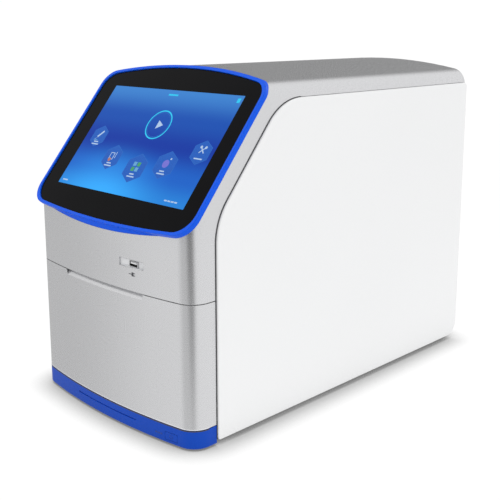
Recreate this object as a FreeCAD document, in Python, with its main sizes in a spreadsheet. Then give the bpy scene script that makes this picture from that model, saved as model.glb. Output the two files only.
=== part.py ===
import math
import os
import re

import FreeCAD
import Part
from FreeCAD import Placement, Rotation, Vector

# A bench-top real-time thermal cycler. Millimetres, +Z up, the front faces -Y.
# The origin is on the bench, under the middle of the instrument.

X_AXIS, Y_AXIS, Z_AXIS = Vector(1, 0, 0), Vector(0, 1, 0), Vector(0, 0, 1)

DIMENSIONS = {
    # outside of the case
    "shell_wide": 270, "shell_front": -243, "shell_back": 242, "crest": 376, "shell_wall": 4,
    "crown_radius": 660, "crown_corner": 20, "bow_radius": 720, "bow_corner": 22, "case_wide": 274.8,
    "panel_thick": 4.4, "panel_front": -201, "panel_back": 244.2, "panel_low": 6, "panel_high": 347.7,
    "panel_sunk": 18, "panel_rim": 1.4, "cover_back": -201.8, "seam_gap": 0.8, "drawer_seam": 154.3,
    "trim_seam": 22.5, "trim_low": 1.6, "trim_round": 2.5, "fit_gap": 0.4,
    # finger recess of the drawer, groove and key of the trim
    "grip_left": -70, "grip_right": 68, "grip_tall": 5.8, "grip_deep": 5.5, "groove_half": 52,
    "groove_low": 13, "groove_high": 14.4, "groove_deep": 0.9, "key_left": 95, "key_right": 111,
    "key_low": 6, "key_high": 14, "key_gap": 0.35,
    # front socket
    "pocket_left": 33.3, "pocket_right": 69.5, "pocket_low": 179.5, "pocket_high": 188, "can_left": 47.9,
    "can_right": 61.1, "can_low": 180.8, "can_high": 186.4, "can_front": -240.4, "can_back": -226,
    "can_wall": 0.4,
    # tilted touch screen
    "tilt": 50.73, "screen_y": -216.5, "screen_z": 243.6, "screen_wide": 217, "screen_tall": 135.6,
    "ring_low": 1.2, "ring_high": 6.4, "ring_wide": 3.5, "ring_proud": 1, "ring_bow_radius": 860,
    "glass_high": 5, "glass_half": 132.5, "glass_top": 164, "glass_top_side": 148, "glass_bottom": -32.5,
    "glass_bottom_side": -25, "glass_low_corner": 24, "glass_high_corner": 21, "module_thick": 4.2,
    "module_edge": 6.2,
    # chassis
    "plate_thick": 2, "base_low": 8, "foot_radius": 12, "foot_side": 104, "foot_front": -168,
    "foot_rear": 206, "rear_face": 238.5,
    # sample drawer
    "travel": 180, "block_y": -120, "block_wide": 124, "block_deep": 84, "block_low": 112,
    "block_high": 134, "well_pitch": 9, "well_radius": 2.75, "deck_high": 137, "tray_half": 114.6,
    "tray_low": 54, "tray_front": -226, "tray_back": -30, "sink_low": 57, "tile": 40,
    # drive under the drawer
    "screw_z": 31, "screw_radius": 4, "motor_side": 42, "motor_y": 170, "nut_y": 144, "nut_deep": 14,
    # heated lid and optics
    "lid_low": 147, "lid_thick": 9, "optics_deck": 180, "rod_side": 76, "rod_radius": 4,
    "lid_screw_side": 94, "lid_screw_radius": 3, "lid_motor": 28, "wheel_y": -90, "wheel_z": 282,
    # rear services
    "fan_x": -62, "fan_z": 262, "fan_side": 80, "inlet_x": 78, "inlet_z": 62, "switch_x": 36,
}

document = FreeCAD.newDocument("thermal_cycler")
sheet = document.addObject("Spreadsheet::Sheet", "sizes")
for row, (alias, number) in enumerate(DIMENSIONS.items(), start=1):
    sheet.set(f"A{row}", alias)
    sheet.set(f"B{row}", str(number))
    sheet.setAlias(f"B{row}", alias)
document.recompute()

finished = []


def formula(text):
    """Point each dimension's name in a formula at its cell of the sheet."""
    return re.sub(r"[a-z][a-z_]+", lambda word: "sizes." + word.group() if word.group() in DIMENSIONS
                  else word.group(), str(text))


def size(alias):
    """A dimension's number in the sheet, for the shapes that are computed here."""
    return float(sheet.get(alias))


def keep(thing, label):
    """Give a finished sub-part its label, which is its node's name."""
    thing.Label = label
    finished.append(thing)
    return thing


def block(x, y, z):
    """A box between pairs of formulas, its size and place bound to the sheet."""
    box = document.addObject("Part::Box", "block")
    for prop, coordinate, (low, high) in zip(("Length", "Width", "Height"), "xyz", (x, y, z)):
        box.setExpression(prop, formula(f"({high}) - ({low})"))
        box.setExpression("Placement.Base." + coordinate, formula(low))
    return box


def rod(radius, length, x, y, z, along=Z_AXIS):
    """A cylinder that starts at x, y, z and runs along an axis."""
    cylinder = document.addObject("Part::Cylinder", "rod")
    cylinder.Placement = Placement(Vector(), Rotation(Z_AXIS, along))
    cylinder.setExpression("Radius", formula(radius))
    cylinder.setExpression("Height", formula(length))
    for coordinate, text in zip("xyz", (x, y, z)):
        cylinder.setExpression("Placement.Base." + coordinate, formula(text))
    return cylinder


def cone(low_radius, high_radius, height, x, y, z):
    """A frustum standing at x, y, z."""
    frustum = document.addObject("Part::Cone", "frustum")
    for prop, text in (("Radius1", low_radius), ("Radius2", high_radius), ("Height", height)):
        frustum.setExpression(prop, formula(text))
    for coordinate, text in zip("xyz", (x, y, z)):
        frustum.setExpression("Placement.Base." + coordinate, formula(text))
    return frustum


def group(things):
    """Separate solids that are one node."""
    compound = document.addObject("Part::Compound", "group")
    compound.Links = things
    return compound


def join(things):
    """One solid out of touching or overlapping ones."""
    fusion = document.addObject("Part::MultiFuse", "join")
    fusion.Shapes = things
    return fusion


def cut(base, tools):
    """The base without the tools."""
    difference = document.addObject("Part::Cut", "cut")
    difference.Base = base
    difference.Tool = tools[0] if len(tools) == 1 else group(tools)
    return difference


def solid(shape):
    """A computed shape as an object of the document."""
    feature = document.addObject("Part::Feature", "form")
    feature.Shape = shape
    return feature


def plane_of(body, role):
    """One of a body's own origin planes."""
    return next(plane for plane in body.Origin.OriginFeatures if plane.Role == role)


def outline(body, role, points, circles=()):
    """A sketch of a closed outline, with round holes, on an origin plane of the body."""
    sketch = body.newObject("Sketcher::SketchObject", "outline")
    sketch.AttachmentSupport = [(plane_of(body, role), "")]
    sketch.MapMode = "FlatFace"
    for start, end in zip(points, points[1:] + points[:1]):
        sketch.addGeometry(Part.LineSegment(Vector(*start, 0), Vector(*end, 0)))
    for x, y, radius in circles:
        sketch.addGeometry(Part.Circle(Vector(x, y, 0), Z_AXIS, radius))
    return sketch


def padded(label, role, points, thickness, base, circles=()):
    """A PartDesign body: an outline padded to a thickness and moved to its base."""
    body = document.addObject("PartDesign::Body", label)
    sketch = outline(body, role, points, circles)
    pad = body.newObject("PartDesign::Pad", "pad")
    pad.Profile = sketch
    pad.setExpression("Length", formula(thickness))
    body.Placement = Placement(base, Rotation())
    document.recompute()
    return body


# ---------------------------------------------------------------- outer forms

def plan_face(inset, height, bow="bow_radius", wider=0.0):
    """The case's plan with sharp corners: a bowed front and straight sides."""
    half = size("shell_wide") / 2 + wider - inset
    front = size("shell_front") + inset
    side = front + half ** 2 / (2 * size(bow))
    back = size("shell_back")
    corners = [Vector(-half, side, height), Vector(half, side, height),
               Vector(half, back, height), Vector(-half, back, height)]
    edges = [Part.Arc(corners[0], Vector(0, front, height), corners[1]).toShape()]
    edges += [Part.makeLine(corners[i], corners[(i + 1) % 4]) for i in (1, 2, 3)]
    return Part.Face(Part.Wire(edges))


def bowed_plan(inset=0.0, low=0.0, high=400.0, bow="bow_radius", wider=0.0):
    """A prism on the case's plan, its two front corners rounded."""
    prism = plan_face(inset, low, bow, wider).extrude(Vector(0, 0, high - low))
    upright = [edge for edge in prism.Edges if edge.BoundBox.ZLength > 1 and edge.BoundBox.YMax < 0]
    return prism.makeFillet(size("bow_corner") - inset, upright)


def crowned_front(inset=0.0, proud=0.0):
    """A prism with the case's front elevation: straight sides and a crowned top."""
    half = size("shell_wide") / 2 + proud - inset
    top = size("crest") - inset + proud
    side = top - half ** 2 / (2 * size("crown_radius"))
    front, back = size("shell_front") - 10, size("shell_back")
    corners = [Vector(-half, front, side), Vector(half, front, side),
               Vector(half, front, -5), Vector(-half, front, -5)]
    edges = [Part.Arc(corners[0], Vector(0, front, top), corners[1]).toShape()]
    edges += [Part.makeLine(corners[i], corners[(i + 1) % 4]) for i in (1, 2, 3)]
    prism = Part.Face(Part.Wire(edges)).extrude(Vector(0, back - front, 0))
    upper = [edge for edge in prism.Edges if edge.BoundBox.YLength > 1 and edge.BoundBox.ZMin > 100]
    return prism.makeFillet(size("crown_corner") - inset, upper)


TILT = math.radians(size("tilt"))
UP_SLOPE = Vector(0, math.cos(TILT), math.sin(TILT))
OUT_OF_SLOPE = Vector(0, -math.sin(TILT), math.cos(TILT))
SCREEN_FOOT = Vector(0, size("screen_y"), size("screen_z"))


def on_slope(x, along, out):
    """A point given across, up and out of the screen's plane."""
    return Vector(x, 0, 0) + SCREEN_FOOT + UP_SLOPE * along + OUT_OF_SLOPE * out


def slab(low, high, half=200.0, bottom=-300.0, top=400.0):
    """A rectangular slab lying along the slope."""
    points = [on_slope(-half, bottom, low), on_slope(half, bottom, low),
              on_slope(half, top, low), on_slope(-half, top, low)]
    return Part.Face(Part.makePolygon(points + points[:1])).extrude(OUT_OF_SLOPE * (high - low))


def glass_prism(low, high, grow=0.0):
    """The cover glass's outline: arched top, slightly bowed bottom, four round corners."""
    half = size("glass_half") + grow
    high_side, low_side = size("glass_top_side") + grow, size("glass_bottom_side") - grow
    top, bottom = size("glass_top") + grow, size("glass_bottom") - grow
    left_low, right_low = on_slope(-half, low_side, low), on_slope(half, low_side, low)
    left_high, right_high = on_slope(-half, high_side, low), on_slope(half, high_side, low)
    edges = [Part.Arc(left_low, on_slope(0, bottom, low), right_low).toShape(),
             Part.makeLine(right_low, right_high),
             Part.Arc(right_high, on_slope(0, top, low), left_high).toShape(),
             Part.makeLine(left_high, left_low)]
    prism = Part.Face(Part.Wire(edges)).extrude(OUT_OF_SLOPE * (high - low))
    low_radius, high_radius = size("glass_low_corner"), size("glass_high_corner")
    rounds = ((left_low, low_radius), (right_low, low_radius), (left_high, high_radius),
              (right_high, high_radius))
    for corner, radius in rounds:
        edge = [e for e in prism.Edges if min((v.Point - corner).Length for v in e.Vertexes) < 0.01
                and abs(e.tangentAt(e.FirstParameter).dot(OUT_OF_SLOPE)) > 0.99]
        prism = prism.makeFillet(radius, edge)
    return prism


# a side panel's corner radii: front foot, foot of the slope, top of the slope, rear top, rear foot
PANEL_ROUNDS = (3, 66, 62, 5, 19)


def panel_outline(grow=0.0):
    """A side panel's outline in the YZ plane, with its rounded slope and corners."""
    front, back = size("panel_front") - grow, size("panel_back") + grow
    low, high = size("panel_low") - grow, size("panel_high") + grow
    foot = SCREEN_FOOT + OUT_OF_SLOPE * (grow - size("panel_sunk"))
    bend_low = foot + UP_SLOPE * ((front - foot.y) / UP_SLOPE.y)
    bend_high = foot + UP_SLOPE * ((high - foot.z) / UP_SLOPE.z)
    return [Vector(0, front, low), Vector(0, front, bend_low.z), Vector(0, bend_high.y, high),
            Vector(0, back, high), Vector(0, back, low)]


def panel_prism(x_low, x_high, grow=0.0):
    """A side panel's plate between two X values, its corners rounded."""
    points = [Vector(x_low, p.y, p.z) for p in panel_outline(grow)]
    plate = Part.Face(Part.makePolygon(points + points[:1])).extrude(Vector(x_high - x_low, 0, 0))
    for corner, radius in zip(points, PANEL_ROUNDS):
        edge = [e for e in plate.Edges if min((v.Point - corner).Length for v in e.Vertexes) < 0.01
                and e.BoundBox.XLength > 1]
        plate = plate.makeFillet(radius, edge)
    return plate


def range_box(x, y, z):
    """A plain box shape between pairs of numbers."""
    return Part.makeBox(x[1] - x[0], y[1] - y[0], z[1] - z[0], Vector(x[0], y[0], z[0]))


# ---------------------------------------------------------------- case

WALL = size("shell_wall")
HALF_SEAM = size("seam_gap") / 2
CASE_HALF = size("case_wide") / 2
PANEL_INSIDE = CASE_HALF - size("panel_thick")


POCKET_X = (size("pocket_left"), size("pocket_right"))
POCKET_Z = (size("pocket_low"), size("pocket_high"))


def upper_shell():
    """Front, screen slope and top cover in one moulding, open behind and below."""
    low = size("drawer_seam") + HALF_SEAM
    below_slope = slab(-400, size("ring_low"))
    outer = bowed_plan(0, low).common(crowned_front()).common(below_slope)
    inner = bowed_plan(WALL, low - 1).common(crowned_front(WALL))
    inner = inner.common(slab(-400, size("ring_low") - WALL))
    shell = outer.cut(inner)
    gap = size("fit_gap")
    for side in (-1, 1):
        x_pair = sorted((side * (PANEL_INSIDE - gap), side * (CASE_HALF + 5)))
        shell = shell.cut(panel_prism(*x_pair, grow=gap))
    back_opening = range_box((-PANEL_INSIDE - 1, PANEL_INSIDE + 1), (-150, 260), (low - 2, 330))
    shell = shell.cut(back_opening)
    margin = size("module_edge") + 1.3
    window = slab(-20, 20, size("screen_wide") / 2 + margin, -margin, size("screen_tall") + margin)
    return shell.cut(window).cut(range_box(POCKET_X, (-260, -225), POCKET_Z))


keep(solid(upper_shell()), "upper_shell")


def bezel_ring():
    """The coloured ring around the glass, a little proud of the case and of the glass."""
    proud = size("ring_proud")
    ring = bowed_plan(0, 100, 400, "ring_bow_radius", proud).common(crowned_front(0, proud))
    ring = ring.common(slab(size("ring_low"), size("ring_high")))
    ring = ring.fuse(glass_prism(size("ring_low"), size("ring_high"), size("ring_wide"))).removeSplitter()
    return ring.cut(glass_prism(size("ring_low") - 1, size("ring_high") + 1, 0.2))


keep(solid(bezel_ring()), "bezel_ring")
keep(solid(glass_prism(size("ring_low"), size("glass_high"))), "touch_glass")
MODULE_BACK = -size("module_thick")
MODULE_EDGE = size("module_edge")
module = slab(MODULE_BACK, size("ring_low") - 0.1, size("screen_wide") / 2 + MODULE_EDGE, -MODULE_EDGE - 0.5,
              size("screen_tall") + MODULE_EDGE + 0.5)
keep(solid(module), "display_panel")
bracket = slab(MODULE_BACK - size("plate_thick"), MODULE_BACK, 118, -16, size("screen_tall") + 10)
bracket_window = slab(-8, 0, 90, 20, size("screen_tall") - 20)
keep(solid(bracket.cut(bracket_window)), "display_bracket")
keep(solid(slab(-13, -11.4, 80, 25, 105)), "display_board")

for name, side in (("side_panel_left", -1), ("side_panel_right", 1)):
    plate = panel_prism(*sorted((side * PANEL_INSIDE, side * CASE_HALF)))
    outer_rim = [edge for edge in plate.Edges if edge.BoundBox.XLength < 0.01
                 and abs(abs(edge.BoundBox.XMin) - CASE_HALF) < 0.01]
    keep(solid(plate.makeFillet(size("panel_rim"), outer_rim)), name)


def drawer_front():
    """The lower front cover, wrapped round both front corners, with a finger recess on its top edge."""
    low, high = size("trim_seam") + HALF_SEAM, size("drawer_seam") - HALF_SEAM
    back = size("cover_back")
    outer = bowed_plan(0, low, high)
    hollow = bowed_plan(WALL, low + WALL, high - WALL)
    front = outer.cut(hollow).common(range_box((-150, 150), (-260, back), (low, high)))
    edge_low = high - size("grip_tall")
    left, right = size("grip_left"), size("grip_right")
    sides = [Vector(left, -250, high + 1), Vector(right, -250, high + 1), Vector(right - 1.6, -250, edge_low),
             Vector(left + 3.4, -250, edge_low)]
    reach = Part.Face(Part.makePolygon(sides + sides[:1])).extrude(Vector(0, 30, 0))
    wires = [plan_face(0, edge_low - 0.1).OuterWire, plan_face(size("grip_deep"), high + 0.1).OuterWire]
    return front.cut(reach.cut(Part.makeLoft(wires, True, True)))


keep(solid(drawer_front()), "drawer_front")


def base_trim():
    """The coloured skirt below the drawer, with a fine groove and the key's window."""
    low, high = size("trim_low"), size("trim_seam") - HALF_SEAM
    outer = bowed_plan(0, low, high)
    bottom_edges = [edge for edge in outer.Edges if edge.BoundBox.ZMax < low + 0.01]
    outer = outer.makeFillet(size("trim_round"), bottom_edges)
    trim = outer.cut(bowed_plan(WALL, low + WALL, high + 1))
    trim = trim.common(range_box((-150, 150), (-260, size("cover_back")), (low - 1, high + 1)))
    groove = bowed_plan(-1, size("groove_low"), size("groove_high")).cut(bowed_plan(size("groove_deep")))
    half = size("groove_half")
    trim = trim.cut(groove.common(range_box((-half, half), (-260, -200), (low, high))))
    gap = size("key_gap")
    return trim.cut(range_box((size("key_left") - gap, size("key_right") + gap), (-260, -225),
                              (size("key_low") - gap, size("key_high") + gap)))


keep(solid(base_trim()), "base_trim")
KEY_Z = (size("key_low"), size("key_high"))
key_face = bowed_plan(0, *KEY_Z).cut(bowed_plan(7))
key_face = key_face.common(range_box((size("key_left"), size("key_right")), (-260, -226), KEY_Z))
keep(solid(key_face), "standby_key")
keep(block(("key_left + 3", "key_right - 3"), ("-226", "-221"), ("key_low", "key_high")), "key_switch")

# USB socket in the front: a recessed bezel and the metal socket with its tongue
recess_plate = bowed_plan(1.6, *POCKET_Z).cut(bowed_plan(WALL))
recess_plate = recess_plate.common(range_box(POCKET_X, (-260, -225), POCKET_Z))
can_window = range_box((size("can_left") - 0.2, size("can_right") + 0.2), (-260, -225),
                       (size("can_low") - 0.2, size("can_high") + 0.2))
keep(solid(recess_plate.cut(can_window)), "usb_recess")
socket_can = block(("can_left", "can_right"), ("can_front", "can_back"), ("can_low", "can_high"))
socket_space = block(("can_left + can_wall", "can_right - can_wall"), ("can_front - 0.6", "can_back - 1"),
                     ("can_low + can_wall", "can_high - can_wall"))
socket_tongue = block(("can_left + 1.3", "can_right - 1.3"), ("can_front + 1", "can_back - 1"),
                      ("can_high - 2.5", "can_high - 0.7"))
keep(join([cut(socket_can, [socket_space]), socket_tongue]), "usb_port")

# ---------------------------------------------------------------- chassis

FEET = [(side * size("foot_side"), size(place)) for side in (-1, 1) for place in ("foot_front", "foot_rear")]
SIDE_INSIDE = PANEL_INSIDE - 4.4

base_points = [(-SIDE_INSIDE, -196), (-110, -196), (-110, -228), (85, -228), (85, -196), (SIDE_INSIDE, -196),
               (SIDE_INSIDE, 236), (-SIDE_INSIDE, 236)]
vents = [(x, y, 3) for x in range(-100, 101, 20) for y in (-120, -100, -80)]
base = padded("base_plate", "XY_Plane", base_points, "plate_thick", Vector(0, 0, size("base_low")),
              [(x, y, 2.2) for x, y in FEET] + vents)
keep(base, "base_plate")

feet = []
for foot_x, foot_y in FEET:
    pad = cone("foot_radius - 1.5", "foot_radius", "base_low", foot_x, foot_y, "0")
    feet.append(cut(pad, [rod("4.5", "7.8", foot_x, foot_y, "-1"), rod("2.1", "20", foot_x, foot_y, "-2")]))
keep(group(feet), "rubber_feet")

foot_screws = [join([rod("4.2", "2.4", x, y, "4.2"), rod("1.9", "5", x, y, "5")]) for x, y in FEET]

side_points = [(-186, 10.2), (232, 10.2), (232, 318), (-112, 318), (-186, 226)]
for name, side in (("frame_plate_left", -1), ("frame_plate_right", 1)):
    start = min(side * SIDE_INSIDE, side * (SIDE_INSIDE + size("plate_thick")))
    holes = [(y, z, 26) for y in (-70, 10, 90, 170) for z in (180, 250)]
    plate = padded(name, "YZ_Plane", side_points, "plate_thick", Vector(start, 0, 0), holes)
    keep(plate, name)


FLOOR_TOP = size("base_low") + size("plate_thick") + 0.2
FAN_HOLE = 37
FAN_DEEP = 25
GUARD_OUT = 1.4
VENT_COLUMNS, VENT_LINES = 8, 6


def rear_panel():
    """The rear wall inside the crowned cover, cut for the fan, the sockets and the vents."""
    face = size("rear_face")
    inset = WALL + 0.4
    wall = crowned_front(inset).common(bowed_plan(inset, FLOOR_TOP))
    wall = wall.common(range_box((-200, 200), (face - size("plate_thick"), face), (FLOOR_TOP, 400)))
    inlet_x, switch_x, inlet_z = size("inlet_x"), size("switch_x"), size("inlet_z")
    through = (face - 5, face + 5)
    fan_hole = Part.makeCylinder(FAN_HOLE, 10, Vector(size("fan_x"), face - 6, size("fan_z")), Y_AXIS)
    holes = [fan_hole,
             range_box((inlet_x - 14, inlet_x + 14), through, (inlet_z - 10.5, inlet_z + 10.5)),
             range_box((switch_x - 7, switch_x + 7), through, (inlet_z - 11, inlet_z + 11)),
             range_box((-84, -67), through, (55, 69)),
             range_box((-56, -43), through, (56, 68))]
    for column in range(VENT_COLUMNS):
        for line in range(VENT_LINES):
            low_x, low_z = 14 + 12.5 * column, 214 + 16 * line
            holes.append(range_box((low_x, low_x + 3), through, (low_z, low_z + 11)))
    return wall.cut(Part.makeCompound(holes))


keep(solid(rear_panel()), "rear_panel")

GUARD_MIDDLE = Vector(size("fan_x"), size("rear_face") + GUARD_OUT, size("fan_z"))
guard = []
for ring in range(1, 5):
    torus = document.addObject("Part::Torus", "guard_ring")
    torus.Radius1 = 9.5 * ring
    torus.Radius2 = 0.8
    torus.Placement = Placement(GUARD_MIDDLE, Rotation(X_AXIS, 90))
    guard.append(torus)
for turn in (45, 135):
    spoke = document.addObject("Part::Cylinder", "guard_spoke")
    spoke.Radius = 0.9
    spoke.Height = 94
    direction = Vector(math.cos(math.radians(turn)), 0, math.sin(math.radians(turn)))
    spoke.Placement = Placement(GUARD_MIDDLE - direction * 47, Rotation(Z_AXIS, direction))
    guard.append(spoke)
keep(join(guard), "fan_guard")


def fan_frame(x, z, y_low, side, depth):
    """A square fan frame with its round duct, hub and three struts."""
    half = side / 2
    frame = range_box((x - half, x + half), (y_low, y_low + depth), (z - half, z + half))
    frame = frame.cut(Part.makeCylinder(half * 0.95, depth + 2, Vector(x, y_low - 1, z), Y_AXIS))
    hub = Part.makeCylinder(half * 0.42, 3, Vector(x, y_low + depth - 3, z), Y_AXIS)
    for turn in (30, 150, 270):
        strut = range_box((0, half * 0.98), (y_low + depth - 3, y_low + depth), (-1.5, 1.5))
        strut.rotate(Vector(), Y_AXIS, turn)
        strut.translate(Vector(x, 0, z))
        hub = hub.fuse(strut)
    reach = half * 0.893
    corners = [Part.makeCylinder(2.1, depth + 2, Vector(x + i * reach, y_low - 1, z + j * reach), Y_AXIS)
               for i in (-1, 1) for j in (-1, 1)]
    return frame.fuse(hub).cut(Part.makeCompound(corners)).removeSplitter()


def fan_rotor(label, x, z, y_low, side, depth, blades=7):
    """A rotor: hub with a polar pattern of raked blades."""
    hub_radius, tip = side * 0.21, side * 0.46
    rotor = Part.makeCylinder(hub_radius, depth - 5.5, Vector(0, 0, 0), Y_AXIS)
    for number in range(blades):
        blade = range_box((hub_radius - 2, tip), (0, depth - 8), (-0.8, 0.8))
        blade.rotate(Vector(0, depth / 2 - 4, 0), X_AXIS, 38)
        blade = blade.common(range_box((0, tip), (0, depth - 6), (-30, 30)))
        blade.rotate(Vector(), Y_AXIS, 360 * number / blades)
        rotor = rotor.fuse(blade)
    rotor = rotor.common(Part.makeCylinder(tip, depth, Vector(), Y_AXIS)).removeSplitter()
    rotor.translate(Vector(x, y_low + 1, z))
    return keep(solid(rotor), label)


FAN_Y = size("rear_face") - size("plate_thick") - 0.2 - FAN_DEEP
FAN_PLACE = (size("fan_x"), size("fan_z"), FAN_Y, size("fan_side"), FAN_DEEP)
keep(solid(fan_frame(*FAN_PLACE)), "exhaust_fan_frame")
fan_rotor("exhaust_fan_rotor", *FAN_PLACE)

# Mains inlet: flanged housing with a socket and three pins
inlet_body = join([block(("inlet_x - 13.7", "inlet_x + 13.7"), ("rear_face - 16", "rear_face + 2"),
                         ("inlet_z - 10.2", "inlet_z + 10.2")),
                   block(("inlet_x - 24", "inlet_x + 24"), ("rear_face", "rear_face + 2"),
                         ("inlet_z - 12", "inlet_z + 12"))])
inlet_socket = block(("inlet_x - 12", "inlet_x + 12"), ("rear_face - 13", "rear_face + 3"),
                     ("inlet_z - 8.2", "inlet_z + 8.2"))
pins = [block((f"inlet_x + {x - 1}", f"inlet_x + {x + 1}"), ("rear_face - 13", "rear_face - 5"),
              (f"inlet_z + {z - 2}", f"inlet_z + {z + 2}")) for x, z in ((-7, -2), (0, 2), (7, -2))]
keep(group([cut(inlet_body, [inlet_socket])] + pins), "mains_inlet")

switch_body = join([block(("switch_x - 6.8", "switch_x + 6.8"), ("rear_face - 16", "rear_face"),
                          ("inlet_z - 10.8", "inlet_z + 10.8")),
                    block(("switch_x - 8.5", "switch_x + 8.5"), ("rear_face", "rear_face + 2"),
                          ("inlet_z - 12.5", "inlet_z + 12.5"))])
switch_space = block(("switch_x - 5.6", "switch_x + 5.6"), ("rear_face - 10", "rear_face + 3"),
                     ("inlet_z - 9.8", "inlet_z + 9.8"))
SWITCH_AXIS = Vector(size("switch_x"), size("rear_face") - 2.5, size("inlet_z"))
pivot_holes = rod("1.25", "13.2", "switch_x - 6.6", "rear_face - 2.5", "inlet_z", X_AXIS)
keep(cut(switch_body, [switch_space, pivot_holes]), "switch_housing")
rocker = range_box((-5.2, 5.2), (-3, 3), (-8.8, 8.8))
rocker = rocker.cut(Part.makeCylinder(30, 12, Vector(-6, 31.6, 0), X_AXIS))
rocker.rotate(Vector(), X_AXIS, 9)
rocker = rocker.fuse(Part.makeCylinder(1.2, 12.6, Vector(-6.3, 0, 0), X_AXIS)).removeSplitter()
rocker.translate(SWITCH_AXIS)
keep(solid(rocker), "power_rocker")

network_jack = cut(block(("-83.6", "-67.4"), ("rear_face - 18", "rear_face + 0.6"), ("55.4", "68.6")),
                   [block(("-81.4", "-69.6"), ("rear_face - 12", "rear_face + 2"), ("57", "66.6"))])
host_port = cut(block(("-55.6", "-43.4"), ("rear_face - 16", "rear_face + 0.6"), ("56.4", "67.6")),
                [block(("-53.7", "-45.3"), ("rear_face - 9", "rear_face + 2"), ("58.2", "65.8"))])
keep(group([network_jack, host_port]), "data_sockets")

rear_screws = [rod("3", "1.8", x, "rear_face", z, Y_AXIS) for x in (-120, 120) for z in (26, 180, 326)]
guard_screws = [rod("3", "2.6", f"fan_x + {i * 35.7}", "rear_face", f"fan_z + {j * 35.7}", Y_AXIS)
                for i in (-1, 1) for j in (-1, 1)]
keep(group(rear_screws + guard_screws + foot_screws), "case_screws")

# Power supply and boards
supply_case = cut(block(("30", "124"), ("86", "218"), ("10.2", "52")),
                  [block(("31.2", "122.8"), ("87.2", "219"), ("11.4", "50.8"))])
supply_parts = [block(("34", "120"), ("90", "214"), ("15", "16.6")),
                block(("40", "70"), ("100", "130"), ("16.6", "40")),
                rod("10", "26", "100", "115", "16.6"),
                rod("10", "26", "100", "140", "16.6"),
                block(("45", "85"), ("160", "166"), ("16.6", "44"))]
keep(group([supply_case, join(supply_parts)]), "power_supply")
board_parts = [block(("-122", "-120.4"), ("76", "205"), ("90", "215")),
               block(("-120.4", "-112"), ("90", "120"), ("120", "150")),
               block(("-120.4", "-108"), ("150", "190"), ("110", "120")),
               block(("-120.4", "-110"), ("140", "160"), ("170", "200"))]
standoffs = [rod("2.5", "6.6", "-128.6", y, z, X_AXIS) for y in (82, 195) for z in (100, 205)]
keep(group([join(board_parts)] + standoffs), "main_board")

# ---------------------------------------------------------------- sample drawer

tray_outer = block(("-tray_half", "tray_half"), ("tray_front", "tray_back"), ("tray_low", "deck_high - 3"))
tray_inner = block(("-tray_half + 1.6", "tray_half - 1.6"), ("tray_front - 5", "tray_back - 1.6"),
                   ("tray_low + 1.6", "200"))
fan_window = rod("27", "10", "0", "tray_back - 5", "86", Y_AXIS)
drive_arm = block(("-14", "14"), ("tray_back - 1", "nut_y + nut_deep"), ("tray_low", "tray_low + 3"))
air_slots = [block((f"{x}", f"{x + 4}"), ("-160", "-80"), ("tray_low - 1", "tray_low + 3"))
             for x in range(-48, 49, 12)]
keep(join([cut(tray_outer, [tray_inner, fan_window] + air_slots), drive_arm]), "drawer_tray")
behind_front = bowed_plan(WALL, 50, 140)
brackets = []
for side in (-1, 1):
    x_pair = sorted((side * size("tray_half"), side * (size("tray_half") - 14)))
    brackets.append(range_box(x_pair, (-245, size("tray_front")), (60, 128)).common(behind_front))
keep(solid(Part.makeCompound(brackets)), "front_brackets")

deck = block(("-tray_half", "tray_half"), ("tray_front", "tray_back"), ("deck_high - 3", "deck_high"))
deck_hole = block(("-block_wide / 2 - 0.4", "block_wide / 2 + 0.4"),
                  ("block_y - block_deep / 2 - 0.4", "block_y + block_deep / 2 + 0.4"), ("100", "200"))
keep(cut(deck, [deck_hole]), "drawer_deck")


def well_block():
    """The metal sample block: 8 rows of 12 tapered wells for the tubes of a standard plate."""
    half_wide, half_deep = size("block_wide") / 2, size("block_deep") / 2
    centre_y, low, high = size("block_y"), size("block_low"), size("block_high")
    body = range_box((-half_wide, half_wide), (centre_y - half_deep, centre_y + half_deep), (low, high))
    pitch, mouth = size("well_pitch"), size("well_radius")
    wells = []
    for column in range(12):
        for line in range(8):
            x = (column - 5.5) * pitch
            y = centre_y + (line - 3.5) * pitch
            wells.append(Part.makeCone(1.3, mouth, 16, Vector(x, y, high - 15.99), Z_AXIS))
    return body.cut(Part.makeCompound(wells))


keep(solid(well_block()), "well_block")
tiles = [block((f"{x} - tile / 2", f"{x} + tile / 2"),
               (f"block_y + {y} - tile / 2", f"block_y + {y} + tile / 2"), ("block_low - 3.6", "block_low"))
         for x in (-41, 0, 41) for y in (-20.6, 20.6)]
keep(group(tiles), "peltier_tiles")

sink_base = block(("-64", "64"), ("block_y - 45", "block_y + 45"), ("block_low - 11.6", "block_low - 3.6"))
fins = [block((f"{x}", f"{x + 1.6}"), ("block_y - 45", "block_y + 45"), ("sink_low", "block_low - 11"))
        for x in range(-64, 63, 6)]
keep(join([sink_base] + fins), "heat_sink")

DRAWER_FAN_Y = size("tray_back") - 1.6 - 20.2
DRAWER_FAN_PLACE = (0, 86, DRAWER_FAN_Y, 60, 20)
keep(solid(fan_frame(*DRAWER_FAN_PLACE)), "block_fan_frame")
fan_rotor("block_fan_rotor", *DRAWER_FAN_PLACE)

SLIDE_LOW, SLIDE_HIGH = 62, 106


def channel(side, web_low, web_high, flange_end, low, high, y_pair):
    """A C-shaped slide section on one side of the drawer."""
    def pair(first, second):
        return sorted((side * first, side * second))
    wall = range_box(pair(web_low, web_high), y_pair, (low, high))
    lower = range_box(pair(flange_end, web_high), y_pair, (low, low + 1.4))
    upper = range_box(pair(flange_end, web_high), y_pair, (high - 1.4, high))
    return wall.fuse([lower, upper]).removeSplitter()


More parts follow.
